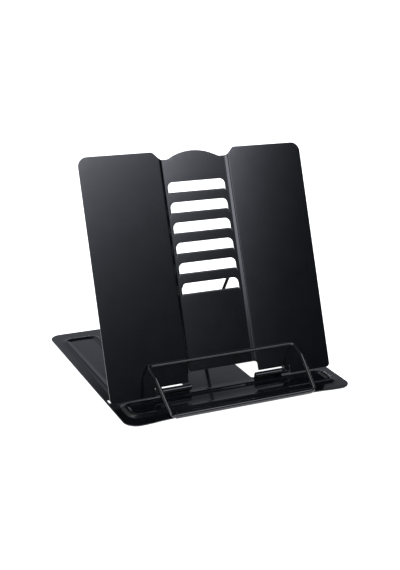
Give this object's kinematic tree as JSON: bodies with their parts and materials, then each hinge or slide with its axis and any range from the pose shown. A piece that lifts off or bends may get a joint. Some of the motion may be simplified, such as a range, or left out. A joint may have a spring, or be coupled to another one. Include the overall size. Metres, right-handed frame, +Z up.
{
  "type": "photo album stand",
  "caption": "Folding sheet-metal stand that holds an open album or book at a slope, with a slotted back panel, a wire prop and a wire page holder.",
  "frame": {"origin": "on the table surface, under the middle of the stand's footprint", "axes": "+X to the right of a reader who faces the pages, +Y away from the reader, +Z up; the symmetry plane is X = 0"},
  "size_m": [0.2, 0.2024, 0.1865],
  "materials": {
    "black_paint": "gloss",
    "black_wire": "gloss",
    "rubber": "matte"
  },
  "bodies": {
    "base": {"base_plate": "black_paint", "hinge_pin_left": "black_wire", "hinge_pin_right": "black_wire", "foot_front_left": "rubber", "foot_front_right": "rubber", "foot_rear_left": "rubber", "foot_rear_right": "rubber"},
    "panel": {"back_panel": "black_paint"},
    "prop": {"prop_wire": "black_wire"},
    "page_holder": {"page_holder_wire": "black_wire"}
  },
  "joints": [
    {"name": "panel_fold", "type": "hinge", "parent": "base", "child": "panel", "pos_m": [0, -0.0594, 0.00698], "axis": [-1, 0, 0], "range_deg": [0, 67.8]},
    {"name": "prop_fold", "type": "hinge", "parent": "base", "child": "prop", "pos_m": [0, 0.02823, 0.0042], "axis": [-1, 0, 0], "range_deg": [0, 121.4]},
    {"name": "page_holder_swing", "type": "hinge", "parent": "base", "child": "page_holder", "pos_m": [0, -0.09878, 0.00425], "axis": [1, 0, 0], "range_deg": [0, 145]}
  ],
  "couplings": [
    {"joint": "prop_fold", "follows": "panel_fold", "ratio": 1.79}
  ]
}
